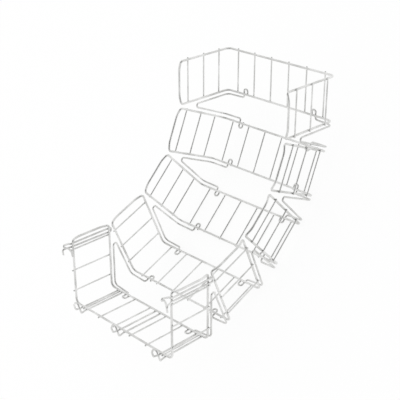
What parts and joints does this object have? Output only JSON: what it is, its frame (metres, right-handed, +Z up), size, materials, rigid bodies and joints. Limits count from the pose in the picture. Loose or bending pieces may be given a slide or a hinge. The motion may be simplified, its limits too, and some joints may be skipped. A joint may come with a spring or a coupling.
{
  "type": "wire mesh cable tray bend",
  "caption": "Rising right-angle bend of wire mesh cable tray: welded channel sections joined by bent link wires, with plug-in hairpin wires at one end",
  "frame": {"origin": "On the floor, in the middle of the part's footprint; the middle section lies flat there", "axes": "X across the channel between its side walls, Y along the channel with the plug-in end toward -Y, Z up"},
  "size_m": [0.328, 0.6968, 0.2911],
  "materials": {
    "zinc_wire": "bright zinc-plated drawn wire, satin"
  },
  "bodies": {
    "root": {"section_1": "zinc_wire", "section_2": "zinc_wire", "section_3": "zinc_wire", "section_4": "zinc_wire", "section_5": "zinc_wire", "link_1_left": "zinc_wire", "link_1_right": "zinc_wire", "link_2_left": "zinc_wire", "link_2_right": "zinc_wire", "link_3_left": "zinc_wire", "link_3_right": "zinc_wire", "link_4_left": "zinc_wire", "link_4_right": "zinc_wire", "floor_plug_left": "zinc_wire", "floor_plug_middle": "zinc_wire", "floor_plug_right": "zinc_wire", "side_plug_left": "zinc_wire", "side_plug_right": "zinc_wire"}
  },
  "joints": []
}
